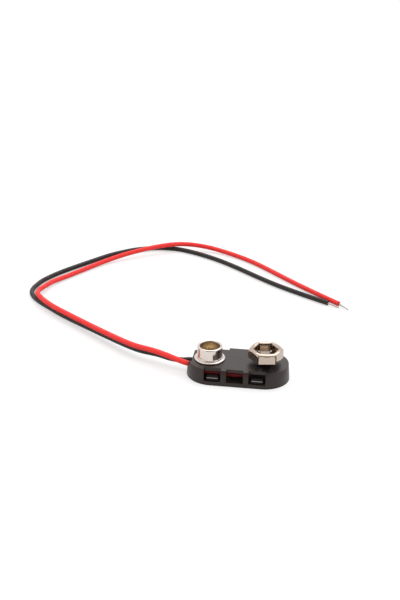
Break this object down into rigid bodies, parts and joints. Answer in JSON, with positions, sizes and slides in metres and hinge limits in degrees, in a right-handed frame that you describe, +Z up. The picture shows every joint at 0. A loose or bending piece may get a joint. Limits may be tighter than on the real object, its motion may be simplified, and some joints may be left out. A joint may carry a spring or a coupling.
{
  "type": "battery snap connector",
  "caption": "Hard-shell snap connector for a nine-volt block battery: round stud and petal socket on a hollow moulded body, with red and black leads from one end.",
  "frame": {"origin": "middle of the flat underside of the connector's body", "axes": "+X along the body from the stud to the socket, +Y across it to the side with two windows, +Z up through the terminals"},
  "size_m": [0.083, 0.0777, 0.0073],
  "materials": {
    "shell_plastic": "fine matt moulded, black",
    "nickel_plate": "bright nickel-plated sheet",
    "lug_brass": "plain stamped brass",
    "red_insulation": "soft satin extruded insulation, red",
    "black_insulation": "soft satin extruded insulation, black",
    "tinned_copper": "tinned copper strands and solder"
  },
  "bodies": {
    "root": {"upper_shell": "shell_plastic", "base_plate": "shell_plastic", "stud_contact": "nickel_plate", "socket_contact": "nickel_plate", "stud_rivet": "nickel_plate", "socket_rivet": "nickel_plate", "stud_solder_lug": "lug_brass", "socket_solder_lug": "lug_brass", "red_lead": "red_insulation", "black_lead": "black_insulation", "red_tinned_tip": "tinned_copper", "black_tinned_tip": "tinned_copper", "red_soldered_end": "tinned_copper", "black_soldered_end": "tinned_copper"}
  },
  "joints": []
}
